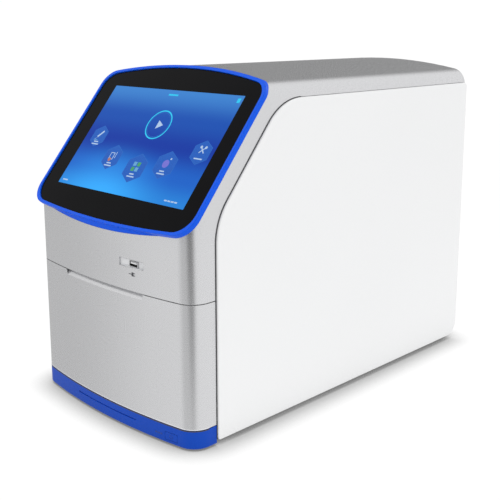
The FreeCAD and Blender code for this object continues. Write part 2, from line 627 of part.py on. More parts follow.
OUTER = SIDE_INSIDE
outer_rails = [channel(side, OUTER - 1.5, OUTER, OUTER - 12.5, SLIDE_LOW, SLIDE_HIGH, (-188, 70))
               for side in (-1, 1)]
keep(solid(Part.makeCompound(outer_rails)), "slide_outer_rails")
middle_rails = [channel(side, OUTER - 3.4, OUTER - 2.0, OUTER - 12, SLIDE_LOW + 2, SLIDE_HIGH - 2, (-188, 62))
                for side in (-1, 1)]
keep(solid(Part.makeCompound(middle_rails)), "slide_middle_rails")
inner_rails = []
for low, high in (("-tray_half - 3.4", "-tray_half"), ("tray_half", "tray_half + 3.4")):
    inner_rails.append(block((low, high), ("-190", "50"), (SLIDE_LOW + 4, SLIDE_HIGH - 4)))
keep(group(inner_rails), "slide_inner_rails")

# Lead screw, its motor, bearing and nut
half_motor = "motor_side / 2"
motor_can = block((f"-{half_motor}", half_motor), ("motor_y", "motor_y + 34"),
                  ("10.4", "10.4 + motor_side * 0.98"))
keep(cut(motor_can, [rod("5", "12", "0", "motor_y - 1", "screw_z", Y_AXIS)]), "drawer_motor")
keep(rod("screw_radius", "motor_y + 50", "0", "-48", "screw_z", Y_AXIS), "drawer_screw")
bearing = cut(block(("-12", "12"), ("-56", "-46"), ("10.4", "44")),
              [rod("screw_radius + 0.05", "12", "0", "-50", "screw_z", Y_AXIS)])
keep(bearing, "screw_bearing")
nut = cut(block(("-11", "11"), ("nut_y", "nut_y + nut_deep"), ("20", "tray_low")),
          [rod("screw_radius + 0.08", "nut_deep + 2", "0", "nut_y - 1", "screw_z", Y_AXIS)])
keep(nut, "drawer_nut")

# ---------------------------------------------------------------- heated lid

lid_plate = block(("-block_wide / 2 + 2", "block_wide / 2 - 2"),
                  ("block_y - block_deep / 2 + 2", "block_y + block_deep / 2 - 2"),
                  ("lid_low", "lid_low + lid_thick"))
ports = [rod("1.8", "lid_thick + 2", f"{column - 5.5} * well_pitch", f"block_y + {line - 3.5} * well_pitch",
             "lid_low - 1") for column in range(12) for line in range(8)]
keep(cut(lid_plate, ports), "heated_lid_plate")

carriage_top = "lid_low + lid_thick"
carriage = block(("-104", "104"), ("block_y - 50", "block_y + 50"), (carriage_top, f"{carriage_top} + 5"))
carriage_cuts = [block(("-57", "57"), ("block_y - 39", "block_y + 39"), ("100", "200"))]
RODS = [(side * size("rod_side"), size("block_y") + end * 40) for side in (-1, 1) for end in (-1, 1)]
carriage_cuts += [rod("rod_radius + 3", "30", x, y, "150") for x, y in RODS]
carriage_cuts += [rod("6", "30", f"{side} * lid_screw_side", "block_y", "150") for side in (-1, 1)]
keep(cut(carriage, carriage_cuts), "lid_carriage")
bushes = [cut(rod("rod_radius + 3", "11", x, y, f"{carriage_top} - 3"),
              [rod("rod_radius + 0.05", "30", x, y, "145")]) for x, y in RODS]
keep(group(bushes), "lid_bushes")
nuts = [cut(rod("6", "11", f"{side} * lid_screw_side", "block_y", f"{carriage_top} - 3"),
            [rod("lid_screw_radius + 0.06", "30", f"{side} * lid_screw_side", "block_y", "145")])
        for side in (-1, 1)]
keep(group(nuts), "lid_nuts")
keep(group([rod("rod_radius", "optics_deck - 141", x, y, "141") for x, y in RODS]), "lid_guide_rods")
for name, side in (("lid_screw_left", -1), ("lid_screw_right", 1)):
    keep(rod("lid_screw_radius", "optics_deck + 6 - 141", f"{side} * lid_screw_side", "block_y", "141"), name)
lid_motors = []
for side in (-1, 1):
    axis = f"{side} * lid_screw_side"
    can = block((f"{axis} - lid_motor / 2", f"{axis} + lid_motor / 2"),
                ("block_y - lid_motor / 2", "block_y + lid_motor / 2"),
                ("optics_deck + 3", "optics_deck + 33"))
    lid_motors.append(cut(can, [rod("4", "8", axis, "block_y", "optics_deck")]))
keep(group(lid_motors), "lid_motors")

deck_plate = block((f"-{SIDE_INSIDE}", f"{SIDE_INSIDE}"), ("-178", "-40"), ("optics_deck", "optics_deck + 3"))
deck_cuts = [block(("-60", "60"), ("block_y - 42", "block_y + 42"), ("170", "200"))]
deck_cuts += [rod("4", "8", f"{side} * lid_screw_side", "block_y", "optics_deck - 2") for side in (-1, 1)]
keep(cut(deck_plate, deck_cuts), "optics_deck")

# ---------------------------------------------------------------- optics

tower_outer = join([block(("-66", "66"), ("-172", "-62"), ("optics_deck + 3", "250")),
                    block(("-66", "66"), ("-118", "-62"), ("250", "318"))])
tower_inner = join([block(("-64", "64"), ("-170", "-64"), ("optics_deck", "248")),
                    block(("-64", "64"), ("-116", "-64"), ("247", "316"))])
keep(cut(tower_outer, [tower_inner]), "optics_housing")
keep(block(("-63.4", "63.4"), ("-169", "-71"), ("optics_deck + 3", "optics_deck + 6")), "field_lens")


def around(radius, count):
    """Points evenly spaced on a circle about the origin."""
    angles = [2 * math.pi * number / count for number in range(count)]
    return [(radius * math.cos(angle), radius * math.sin(angle)) for angle in angles]


WHEEL_RADIUS, FILTER_CIRCLE, FILTER_RADIUS, FILTERS = 24, 16.5, 5.5, 6
wheel_holes = [(x, y, FILTER_RADIUS) for x, y in around(FILTER_CIRCLE, FILTERS)]
wheel = padded("filter_wheel", "XY_Plane", around(WHEEL_RADIUS, 36), "4",
               Vector(0, size("wheel_y"), size("wheel_z")), wheel_holes + [(0, 0, 2.06)])
keep(wheel, "filter_wheel")
filters = [rod(FILTER_RADIUS, "2", x, f"wheel_y + {y}", "wheel_z + 1")
           for x, y in around(FILTER_CIRCLE, FILTERS)]
keep(group(filters), "optical_filters")
keep(join([block(("-10", "10"), ("wheel_y - 10", "wheel_y + 10"), ("wheel_z - 24", "wheel_z - 4")),
           rod("2", "10", "0", "wheel_y", "wheel_z - 5")]), "filter_motor")
keep(join([block(("-3.5", "36.5"), ("wheel_y - 20", "wheel_y + 20"), ("wheel_z + 16", "wheel_z + 32")),
           rod("9", "10", "16.5", "wheel_y", "wheel_z + 7")]), "camera_module")
lamp_board = block(("30", "62"), ("-112", "-72"), ("254", "257"))
keep(join([lamp_board, block(("40", "52"), ("-98", "-86"), ("257", "262"))]), "lamp_module")

# ---------------------------------------------------------------- check and write

document.recompute()
failed = [thing.Label for thing in document.Objects if {"Invalid", "Error"} & set(thing.State)]
assert not failed, failed
os.makedirs("parts", exist_ok=True)
for thing in finished:
    assert not thing.Shape.isNull() and thing.Shape.isValid(), thing.Label
    thing.Shape.exportStep(f"parts/{thing.Label}.step")
    box = thing.Shape.optimalBoundingBox(False)
    volume = thing.Shape.Volume / 1000
    print(f"{thing.Label:22s} solids {len(thing.Shape.Solids):3d}  volume {volume:9.2f} cm3",
          f"x {box.XMin:.1f}..{box.XMax:.1f}  y {box.YMin:.1f}..{box.YMax:.1f}",
          f"z {box.ZMin:.1f}..{box.ZMax:.1f}")
print(len(finished), "sub-parts")
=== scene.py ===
# %% [markdown]
# # A bench-top thermal cycler
# The instrument is a silver case with white side panels, a tilted touch screen in a blue ring and a sample
# drawer in front. Its sheet metal, mouldings and mechanism are already modelled as exact solids, so this
# lesson is mostly about finishes, light, and the fine pieces that are easier to make here: the lit screen
# page, the printed symbols, the gaskets, the threads and the labels. Everything is in metres.

# %% The frame
import math

import bmesh
import bpy
from mathutils import Matrix, Vector


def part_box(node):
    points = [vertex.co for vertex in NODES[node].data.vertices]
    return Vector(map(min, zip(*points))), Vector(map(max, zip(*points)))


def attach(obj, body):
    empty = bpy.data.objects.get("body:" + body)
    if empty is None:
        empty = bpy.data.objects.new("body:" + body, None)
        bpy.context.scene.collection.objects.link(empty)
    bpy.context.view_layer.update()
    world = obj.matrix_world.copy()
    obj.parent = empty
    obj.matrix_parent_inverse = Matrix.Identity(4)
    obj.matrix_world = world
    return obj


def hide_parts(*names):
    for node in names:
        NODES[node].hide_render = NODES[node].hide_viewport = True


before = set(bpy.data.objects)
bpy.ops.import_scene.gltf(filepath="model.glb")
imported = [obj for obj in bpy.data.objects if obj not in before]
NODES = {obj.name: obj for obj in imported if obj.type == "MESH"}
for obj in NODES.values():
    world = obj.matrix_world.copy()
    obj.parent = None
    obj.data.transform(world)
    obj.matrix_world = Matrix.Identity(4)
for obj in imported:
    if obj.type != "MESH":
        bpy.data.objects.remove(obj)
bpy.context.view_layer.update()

MM = 0.001

# %% [markdown]
# ## Camera
# The instrument is seen from its front right corner and a little above. A camera tilted down makes upright
# edges lean, so the lens looks down by only 11 degrees and the camera's shift moves the view down the rest
# of the way, as the sliding front of a view camera does. The camera comes first, because every finish is
# judged through it.

# %% Camera
CAMERA_PLACE = Vector((0.7358, -0.7571, 0.4225))
CAMERA_TURN = math.radians(44.71)
CAMERA_TILT = math.radians(90 - 11.38)
FOCAL_LENGTH = 62.33
lens = bpy.data.cameras.new("camera")
lens.lens = FOCAL_LENGTH
lens.shift_x = -0.005
lens.shift_y = -0.104
camera = bpy.data.objects.new("camera", lens)
camera.location = CAMERA_PLACE
camera.rotation_euler = (CAMERA_TILT, 0, CAMERA_TURN)
bpy.context.collection.objects.link(camera)
bpy.context.scene.camera = camera
bpy.context.scene.view_settings.view_transform = "Standard"
print("camera", [round(value, 3) for value in camera.location])

# %% [markdown]
# ## Helpers for node materials
# A real surface is never one flat colour: paint has flakes and a faint orange peel, plastic has a fine
# spark texture, drawn steel has lines. One function makes a shader with those three layers, a slow drift of
# the colour, a fine grain of roughness, and a bump, and each finish below only chooses their scale and
# strength. Constant values sit on the shader's own sockets, because linked constants are lost when the
# model is exported.

# %% Node helpers
def link(tree, source, target):
    """Joins an output socket to an input socket."""
    tree.links.new(source, target)


def noise_of(tree, vector, scale, detail=4.0):
    """A noise texture's factor over the given coordinates."""
    noise = tree.nodes.new("ShaderNodeTexNoise")
    noise.inputs["Scale"].default_value = scale
    noise.inputs["Detail"].default_value = detail
    link(tree, vector, noise.inputs["Vector"])
    return noise.outputs["Fac"]


def spread(tree, value, low, high):
    """Maps a noise factor, which stays near one half, on to a range."""
    ranger = tree.nodes.new("ShaderNodeMapRange")
    ranger.inputs["From Min"].default_value = 0.3
    ranger.inputs["From Max"].default_value = 0.7
    ranger.inputs["To Min"].default_value = low
    ranger.inputs["To Max"].default_value = high
    link(tree, value, ranger.inputs["Value"])
    return ranger.outputs["Result"]


def finish(name, colour, drift=0.04, drift_scale=9.0, rough=(0.3, 0.4), grain_scale=500.0, bump=0.02,
           stretch=(1, 1, 1), edge=0.0004, **sockets):
    """A finish with drifting colour, grainy roughness, fine bump and softened edges."""
    material = bpy.data.materials.new(name)
    material.use_nodes = True
    tree = material.node_tree
    shader = tree.nodes["Principled BSDF"]
    place = tree.nodes.new("ShaderNodeTexCoord").outputs["Object"]
    mapping = tree.nodes.new("ShaderNodeMapping")
    mapping.inputs["Scale"].default_value = stretch
    link(tree, place, mapping.inputs["Vector"])
    grain = noise_of(tree, mapping.outputs["Vector"], grain_scale, 3)
    slow = noise_of(tree, place, drift_scale, 2)
    mixer = tree.nodes.new("ShaderNodeMix")
    mixer.data_type = "RGBA"
    mixer.inputs["A"].default_value = (*[part * (1 - drift) for part in colour], 1)
    mixer.inputs["B"].default_value = (*[min(1, part * (1 + drift)) for part in colour], 1)
    both = tree.nodes.new("ShaderNodeMath")
    both.operation = "ADD"
    both.use_clamp = True
    link(tree, spread(tree, slow, 0, 0.6), both.inputs[0])
    link(tree, spread(tree, grain, 0, 0.4), both.inputs[1])
    link(tree, both.outputs["Value"], mixer.inputs["Factor"])
    link(tree, mixer.outputs["Result"], shader.inputs["Base Color"])
    link(tree, spread(tree, grain, *rough), shader.inputs["Roughness"])
    relief = tree.nodes.new("ShaderNodeBump")
    relief.inputs["Strength"].default_value = bump
    relief.inputs["Distance"].default_value = 0.0004
    link(tree, grain, relief.inputs["Height"])
    if edge:
        rounded = tree.nodes.new("ShaderNodeBevel")
        rounded.samples = 4
        rounded.inputs["Radius"].default_value = edge
        link(tree, rounded.outputs["Normal"], relief.inputs["Normal"])
    link(tree, relief.outputs["Normal"], shader.inputs["Normal"])
    for socket, value in sockets.items():
        shader.inputs[socket.replace("_", " ")].default_value = value
    return material


def paint_nodes(material, *names):
    """Gives CAD pieces a finish."""
    for name in names:
        slots = NODES[name].material_slots
        if not slots:
            NODES[name].data.materials.append(material)
        for slot in slots:
            slot.material = material
    print(material.name, "on", len(names), "pieces")


# %% [markdown]
# ## Silver metallic paint
# The front, the screen's surround and the long top cover are sprayed with a silver paint: aluminium flakes
# under a clear coat. The flakes make it brighter where it faces the light and darker where it turns away,
# so the shader is mostly metallic with a medium roughness, and a thin clear coat adds the sharper
# reflection on top.

# %% Silver paint
silver = finish("silver_paint", (0.64, 0.642, 0.655), drift=0.03, drift_scale=6, rough=(0.24, 0.30),
                grain_scale=1800, bump=0.006, edge=0.0006, Metallic=0.85, Coat_Weight=0.2,
                Coat_Roughness=0.15)
paint_nodes(silver, "upper_shell", "drawer_front")

# %% [markdown]
# ## White powder coat
# The side panels and the rear wall are painted white with a satin gloss. Powder paint always shows a
# shallow orange peel, which breaks the edge of each reflection, so the grain here is coarser than the
# silver's flakes.

# %% White paint
white = finish("white_paint", (0.845, 0.85, 0.855), drift=0.012, drift_scale=4, rough=(0.28, 0.36),
               grain_scale=420, bump=0.03, edge=0.0008, Coat_Weight=0.2, Coat_Roughness=0.15)
paint_nodes(white, "side_panel_left", "side_panel_right", "rear_panel")

# %% [markdown]
# ## Blue mouldings
# The ring round the glass is moulded in a vivid blue and polished, and the trim under the drawer is the
# same colour with a softer gloss. In a white room a strong gloss would wash a deep blue out to violet, so
# its specular level is low, and what gloss there is comes from a thin coat.

# %% Blue mouldings
ring_blue = finish("ring_blue", (0.0, 0.095, 0.78), drift=0.05, rough=(0.2, 0.26), grain_scale=700,
                   bump=0.01, edge=0.0009, Specular_IOR_Level=0.12, Coat_Weight=0.05, Coat_Roughness=0.08)
trim_blue = finish("trim_blue", (0.003, 0.062, 0.47), drift=0.05, rough=(0.36, 0.44), grain_scale=900,
                   bump=0.02, edge=0.0005, Specular_IOR_Level=0.15)
paint_nodes(ring_blue, "bezel_ring")
paint_nodes(trim_blue, "base_trim", "standby_key")

# %% [markdown]
# ## Cover glass
# The glass is printed black behind and has a coating against reflections, so its specular level is low.
# Faint smears from fingers change only its roughness, over patches a few centimetres wide, which is enough
# to keep it from looking like a hole.

# %% Cover glass
SCREEN_GLOSS = 0.035
glass = finish("cover_glass", (0.0035, 0.0035, 0.0042), drift=0.2, rough=(0.05, 0.12), grain_scale=26,
               bump=0.0, edge=0.0004, Specular_IOR_Level=SCREEN_GLOSS)
paint_nodes(glass, "touch_glass")

# %% [markdown]
# ## Metals of the mechanism
# The chassis is zinc plated sheet, the shafts are ground stainless steel, the block, the lid and the heat
# sink are machined aluminium, and the nuts and bushes are bronze. The bare ones are fully metallic, with the
# grain stretched into fine lines where the real piece was ground or turned. On the motors and the optics
# housing, black paint hides nearly all of the metal.

# %% Metals
zinc = finish("zinc_plate", (0.56, 0.57, 0.58), drift=0.1, drift_scale=40, rough=(0.3, 0.46), grain_scale=260,
              bump=0.03, Metallic=1.0)
steel = finish("ground_steel", (0.62, 0.62, 0.63), drift=0.04, rough=(0.16, 0.3), grain_scale=300,
               stretch=(1, 18, 18), bump=0.05, Metallic=1.0)
nickel = finish("nickel_plate", (0.7, 0.7, 0.71), drift=0.03, rough=(0.14, 0.22), grain_scale=500, bump=0.01,
                Metallic=1.0)
aluminium = finish("bead_blasted_aluminium", (0.68, 0.69, 0.71), drift=0.04, rough=(0.34, 0.46),
                   grain_scale=1500, bump=0.06, Metallic=1.0)
bronze = finish("turned_bronze", (0.62, 0.42, 0.2), drift=0.1, rough=(0.25, 0.4), grain_scale=350,
                stretch=(1, 1, 20), bump=0.05, Metallic=1.0)
black_metal = finish("black_painted_metal", (0.018, 0.018, 0.02), drift=0.15, rough=(0.4, 0.5),
                     grain_scale=700, bump=0.05, Metallic=0.2)
paint_nodes(zinc, "display_bracket", "base_plate", "frame_plate_left", "frame_plate_right", "power_supply",
            "drawer_tray", "front_brackets", "slide_outer_rails", "slide_middle_rails", "slide_inner_rails",
            "lid_carriage", "optics_deck")
paint_nodes(steel, "case_screws", "lid_guide_rods", "drawer_screw", "lid_screw_left", "lid_screw_right")
paint_nodes(nickel, "usb_port", "fan_guard", "data_sockets")
paint_nodes(aluminium, "well_block", "heat_sink", "heated_lid_plate", "screw_bearing")
paint_nodes(bronze, "drawer_nut", "lid_bushes", "lid_nuts")
paint_nodes(black_metal, "drawer_motor", "lid_motors", "optics_housing", "filter_wheel", "filter_motor",
            "camera_module")

# %% [markdown]
# ## Plastics, boards and optics
# Moulded plastic has a spark-eroded texture: a matt skin with a fine, even bump. Circuit boards are glass
# fibre under green lacquer. The optical pieces are clear or coated glass, deep inside the case.

# %% Plastics and optics
black_plastic = finish("black_moulding", (0.02, 0.02, 0.022), drift=0.1, rough=(0.42, 0.55), grain_scale=1100,
                       bump=0.12)
grey_plastic = finish("grey_moulding", (0.2, 0.21, 0.225), drift=0.05, rough=(0.42, 0.52), grain_scale=1000,
                      bump=0.1)
rubber = finish("foot_rubber", (0.025, 0.025, 0.025), drift=0.15, rough=(0.7, 0.85), grain_scale=600,
                bump=0.2)
board = finish("circuit_board", (0.012, 0.14, 0.06), drift=0.25, drift_scale=160, rough=(0.3, 0.4),
               grain_scale=900, bump=0.05)
ceramic = finish("tile_ceramic", (0.8, 0.8, 0.77), drift=0.03, rough=(0.5, 0.6), grain_scale=800,
                 bump=0.03)
lens_glass = finish("lens_glass", (0.8, 0.88, 0.92), drift=0.02, rough=(0.02, 0.05), grain_scale=60,
                    bump=0.0, Transmission_Weight=0.9, IOR=1.5)
coated = finish("coated_filter", (0.35, 0.1, 0.5), drift=0.4, drift_scale=30, rough=(0.04, 0.1),
                grain_scale=80, bump=0.0, Coat_Weight=0.5, Coat_Roughness=0.03)
paint_nodes(black_plastic, "display_panel", "key_switch", "exhaust_fan_frame", "exhaust_fan_rotor",
            "mains_inlet", "switch_housing", "power_rocker", "block_fan_frame", "block_fan_rotor")
paint_nodes(grey_plastic, "drawer_deck")
# A white moulding: the socket tongue's own colour, and partly painted highlight where it is used on the
# socket pocket.
white_plastic_and_highlight = finish("white_moulding_and_painted_highlight", (0.74, 0.745, 0.76), drift=0.03, rough=(0.4, 0.5), grain_scale=1100,
                       bump=0.05)
# The socket pocket is painted pale partly as a painted highlight, for its lit lower facet.
paint_nodes(white_plastic_and_highlight, "usb_recess")
paint_nodes(rubber, "rubber_feet")
paint_nodes(board, "display_board", "main_board", "lamp_module")
paint_nodes(ceramic, "peltier_tiles")
paint_nodes(lens_glass, "field_lens")
paint_nodes(coated, "optical_filters")

# %% [markdown]
# ## The screen's own plane
# Everything on the screen is drawn flat: across, up the slope, and a hair above the glass. The display
# panel's front face gives that plane's middle and slope, and the glass gives its height. Pieces are then
# made in the plane's coordinates and placed with one matrix, which keeps their outlines simple.

# %% The screen's plane
def facing(node, direction, least=0.98):
    """The area-weighted middle and normal of a node's faces that look one way."""
    middle, normal, area = Vector(), Vector(), 0.0
    for face in NODES[node].data.polygons:
        if face.normal.dot(direction) > least:
            middle += face.center * face.area
            normal += face.normal * face.area
            area += face.area
    return middle / area, normal.normalized()


PANEL_MIDDLE, SCREEN_OUT = facing("display_panel", Vector((0, -0.774, 0.633)))
ACROSS = Vector((1, 0, 0))
SCREEN_UP = SCREEN_OUT.cross(ACROSS)
GLASS_MIDDLE, _ = facing("touch_glass", SCREEN_OUT)
GLASS_LIFT = (GLASS_MIDDLE - PANEL_MIDDLE).dot(SCREEN_OUT)
PAGE_SHIFT = ACROSS * 2 * MM - SCREEN_UP * 1.5 * MM
SCREEN_ORIGIN = PANEL_MIDDLE + SCREEN_OUT * GLASS_LIFT + PAGE_SHIFT
SCREEN_PLACE = Matrix((
    (ACROSS.x, SCREEN_UP.x, SCREEN_OUT.x, SCREEN_ORIGIN.x),
    (ACROSS.y, SCREEN_UP.y, SCREEN_OUT.y, SCREEN_ORIGIN.y),
    (ACROSS.z, SCREEN_UP.z, SCREEN_OUT.z, SCREEN_ORIGIN.z),
    (0, 0, 0, 1)))
print("screen slope", round(math.degrees(math.acos(SCREEN_OUT.z)), 2), "degrees")

# %% [markdown]
# ## Closed pieces
# Every fine piece is made in the same way: rings of points, each ring joined to the next, and the two ends
# capped. That gives a closed body with an inside, which can be measured and printed. A bare sheet has none.

# %% Closed pieces
def skin(shape, rings):
    """Joins rings of points in their order and caps both ends."""
    for near, far in zip(rings, rings[1:]):
        for k in range(len(near)):
            j = (k + 1) % len(near)
            shape.faces.new((near[k], near[j], far[j], far[k]))
    shape.faces.new(reversed(rings[0]))
    shape.faces.new(rings[-1])


def closed_piece(name, shape, material):
    """A named piece in one finish, from a closed shape whose faces are turned outwards."""
    bmesh.ops.recalc_face_normals(shape, faces=shape.faces)
    mesh = bpy.data.meshes.new(name)
    shape.to_mesh(mesh)
    shape.free()
    mesh.materials.append(material)
    piece = bpy.data.objects.new(name, mesh)
    bpy.context.collection.objects.link(piece)
    return piece


# %% [markdown]
# ## Thin prints
# A print, an icon or a lit area is a very thin plate with its own outline: a closed prism a few hundredths
# of a millimetre thick. The outlines are discs, rings, bars and rounded rectangles, each given by its
# middle.

# %% Thin prints
def plate(name, outlines, low, thick, material, place, body="root"):
    """Closed prisms on flat outlines, joined in one piece that rides on a body."""
    shape = bmesh.new()
    for outline in outlines:
        skin(shape, [[shape.verts.new((x, y, level)) for x, y in outline] for level in (low, low + thick)])
    piece = closed_piece(name, shape, material)
    piece.matrix_world = place
    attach(piece, body)
    return piece


def disc(x, y, radius, sides=40, turn=0.0):
    """The outline of a round or many-sided plate."""
    angles = [2 * math.pi * i / sides + turn for i in range(sides)]
    return [(x + radius * math.cos(a), y + radius * math.sin(a)) for a in angles]


def band(x, y, radius, width, sides=48, turn=0.0, start=0.0, stop=1.0):
    """A ring or an arc, as short closed links that meet edge to edge."""
    links = []
    inner, outer = radius - width / 2, radius + width / 2
    for i in range(round(sides * (stop - start))):
        a = 2 * math.pi * (start + i / sides) + turn
        b = 2 * math.pi * (start + (i + 1) / sides) + turn
        links.append([(x + outer * math.cos(a), y + outer * math.sin(a)),
                      (x + outer * math.cos(b), y + outer * math.sin(b)),
                      (x + inner * math.cos(b), y + inner * math.sin(b)),
                      (x + inner * math.cos(a), y + inner * math.sin(a))])
    return links


def bar(x, y, wide, tall, turn=0.0):
    """A rectangle about its middle, turned in its plane."""
    c, s = math.cos(turn), math.sin(turn)
    corners = ((-wide / 2, -tall / 2), (wide / 2, -tall / 2), (wide / 2, tall / 2), (-wide / 2, tall / 2))
    return [(x + u * c - v * s, y + u * s + v * c) for u, v in corners]


def rounded(wide, tall, radius, x=0.0, y=0.0, steps=6):
    """A rectangle with round corners."""
    points = []
    for cx, cy, start in ((1, 1, 0), (-1, 1, 90), (-1, -1, 180), (1, -1, 270)):
        for i in range(steps + 1):
            a = math.radians(start + 90 * i / steps)
            points.append((x + cx * (wide / 2 - radius) + radius * math.cos(a),
                           y + cy * (tall / 2 - radius) + radius * math.sin(a)))
    return points


# %% [markdown]
# ## The lit page
# The display glows through the glass: a blue page, light at its top edge, deep in its middle and bright
# again towards the bottom. The light comes from the surface itself, so the colour goes to the shader's
# emission, over a black base that still reflects like the glass around it. Two ramps make it: one up the
# page, one round a glow.

# %% The lit page
SCREEN_WIDE = 217 * MM
SCREEN_TALL = 135.6 * MM
PRINT_LOW = 0.02 * MM
PRINT_THICK = 0.05 * MM


def ramp_of(tree, value, stops):
    """A colour ramp over a value."""
    ramp = tree.nodes.new("ShaderNodeValToRGB")
    ramp.color_ramp.interpolation = "EASE"
    while len(ramp.color_ramp.elements) < len(stops):
        ramp.color_ramp.elements.new(0.5)
    for element, (position, colour) in zip(ramp.color_ramp.elements, stops):
        element.position = position
        element.color = (*colour, 1)
    link(tree, value, ramp.inputs["Fac"])
    return ramp.outputs["Color"]


def page_light():
    """The glowing page's material."""
    material = bpy.data.materials.new("lit_page")
    material.use_nodes = True
    tree = material.node_tree
    shader = tree.nodes["Principled BSDF"]
    place = tree.nodes.new("ShaderNodeTexCoord").outputs["Object"]
    parts = tree.nodes.new("ShaderNodeSeparateXYZ")
    link(tree, place, parts.inputs["Vector"])
    height = tree.nodes.new("ShaderNodeMapRange")
    height.inputs["From Min"].default_value = -SCREEN_TALL / 2
    height.inputs["From Max"].default_value = SCREEN_TALL / 2
    link(tree, parts.outputs["Y"], height.inputs["Value"])
    page = ramp_of(tree, height.outputs["Result"], (
        (0.0, (0.020, 0.24, 0.74)), (0.22, (0.012, 0.13, 0.60)), (0.48, (0.006, 0.042, 0.38)),
        (0.72, (0.010, 0.085, 0.46)), (1.0, (0.05, 0.24, 0.66))))
    shifted = tree.nodes.new("ShaderNodeMapping")
    shifted.inputs["Location"].default_value = (0.25, 0.95, 0)
    shifted.inputs["Scale"].default_value = (9, 14, 1)
    link(tree, place, shifted.inputs["Vector"])
    glow = tree.nodes.new("ShaderNodeTexGradient")
    glow.gradient_type = "SPHERICAL"
    link(tree, shifted.outputs["Vector"], glow.inputs["Vector"])
    light = ramp_of(tree, glow.outputs["Fac"], ((0.0, (0, 0, 0)), (1.0, (0.02, 0.2, 0.32))))
    added = tree.nodes.new("ShaderNodeMix")
    added.data_type = "RGBA"
    added.blend_type = "ADD"
    added.inputs["Factor"].default_value = 1.0
    link(tree, page, added.inputs["A"])
    link(tree, light, added.inputs["B"])
    link(tree, added.outputs["Result"], shader.inputs["Emission Color"])
    shader.inputs["Emission Strength"].default_value = 0.95
    shader.inputs["Base Color"].default_value = (0.004, 0.006, 0.012, 1)
    shader.inputs["Specular IOR Level"].default_value = SCREEN_GLOSS
    smear = spread(tree, noise_of(tree, place, 26), 0.06, 0.12)
    link(tree, smear, shader.inputs["Roughness"])
    return material


lit_page = plate("lit_page", [rounded(SCREEN_WIDE, SCREEN_TALL, 0.6 * MM)], PRINT_LOW, PRINT_THICK,
                 page_light(), SCREEN_PLACE)
print("lit page", round(SCREEN_WIDE, 4), "by", round(SCREEN_TALL, 4))

# %% [markdown]
# ## Symbols on the page
# The page shows one large round button, five six-sided tiles and a few lines. No words are drawn: a start
# mark stands in the button, each tile holds a plain picture, and short bars stand where captions would be.
# A symbol glows with its own colour, with a little unevenness, as a real display is never perfectly even.

# %% Glowing inks
def glow_ink(name, colour, strength):
    """An emissive ink with a faint unevenness."""
    material = bpy.data.materials.new(name)
    material.use_nodes = True
    tree = material.node_tree
    shader = tree.nodes["Principled BSDF"]
    place = tree.nodes.new("ShaderNodeTexCoord").outputs["Object"]
    uneven = spread(tree, noise_of(tree, place, 700, 1), 0, 1)
    darker = [part * 0.85 for part in colour]
    link(tree, ramp_of(tree, uneven, ((0.0, darker), (1.0, colour))), shader.inputs["Emission Color"])
    shader.inputs["Emission Strength"].default_value = strength
    shader.inputs["Base Color"].default_value = (0.01, 0.012, 0.02, 1)
    shader.inputs["Roughness"].default_value = 0.1
    shader.inputs["Specular IOR Level"].default_value = SCREEN_GLOSS
    return material


cyan_ink = glow_ink("cyan_ink", (0.03, 0.62, 0.95), 1.0)
white_ink = glow_ink("white_ink", (0.52, 0.70, 0.95), 0.9)
pale_ink = glow_ink("pale_ink", (0.18, 0.5, 0.85), 0.8)
tile_ink = glow_ink("tile_ink", (0.018, 0.125, 0.56), 0.95)
edge_ink = glow_ink("edge_ink", (0.035, 0.2, 0.68), 0.85)
green_ink = glow_ink("green_ink", (0.08, 0.42, 0.16), 0.9)
orange_ink = glow_ink("orange_ink", (0.55, 0.22, 0.16), 0.9)
violet_ink = glow_ink("violet_ink", (0.22, 0.2, 0.75), 0.9)

SYMBOL_LOW = PRINT_LOW + PRINT_THICK
LAYER = 0.03 * MM


def symbol(name, outlines, ink, layer=0):
    """A symbol on the page, in millimetres from its middle."""
    scaled = [[(x * MM, y * MM) for x, y in outline] for outline in outlines]
    return plate(name, scaled, SYMBOL_LOW + layer * LAYER, LAYER, ink, SCREEN_PLACE)


# %% Round button
BUTTON_X, BUTTON_Y, BUTTON_RADIUS = 4.0, 22.3, 18.0
symbol("button_ring", band(BUTTON_X, BUTTON_Y, BUTTON_RADIUS, 1.6, 72), cyan_ink)
symbol("button_mark", [disc(BUTTON_X + 0.8, BUTTON_Y, 6.4, 3)], white_ink)
symbol("button_halo", band(BUTTON_X, BUTTON_Y, BUTTON_RADIUS - 2.2, 0.4, 72), edge_ink)
print("round button at", (BUTTON_X, BUTTON_Y))

# %% [markdown]
# Each tile is a hexagon with one point up, slightly lighter than the page, with a thin light edge. The five
# tiles hang in a shallow curve across the page. Each has a place, a size and the widths of its caption's
# rows. The pictures are a pencil, stacked sheets, a split square, a disc and crossed tools, all from bars
# and discs.

# %% Tiles and their pictures
CAPTION_DROP, CAPTION_PITCH, CAPTION_TALL = 7.5, 3.2, 1.5
TILES = {
    "pencil": (-84.5, -2.0, 14.0, (7.5, 12)),
    "sheets": (-41.0, -25.5, 15.8, (7.5, 12)),
    "squares": (6.0, -33.5, 18.0, (7.5, 12)),
    "disc": (49.0, -24.0, 17.0, (7.5, 12)),
    "tools": (90.5, -3.5, 14.5, (12,)),
}
for tile_name, (x, y, size, caption_widths) in TILES.items():
    symbol("tile_" + tile_name, [disc(x, y, size, 6, math.pi / 2)], tile_ink)
    symbol("edge_" + tile_name, band(x, y, size, 0.45, 6, math.pi / 2), edge_ink, 1)
    captions = [bar(x, y - CAPTION_DROP - CAPTION_PITCH * row, wide, CAPTION_TALL)
                for row, wide in enumerate(caption_widths)]
    symbol("caption_" + tile_name, captions, white_ink, 1)

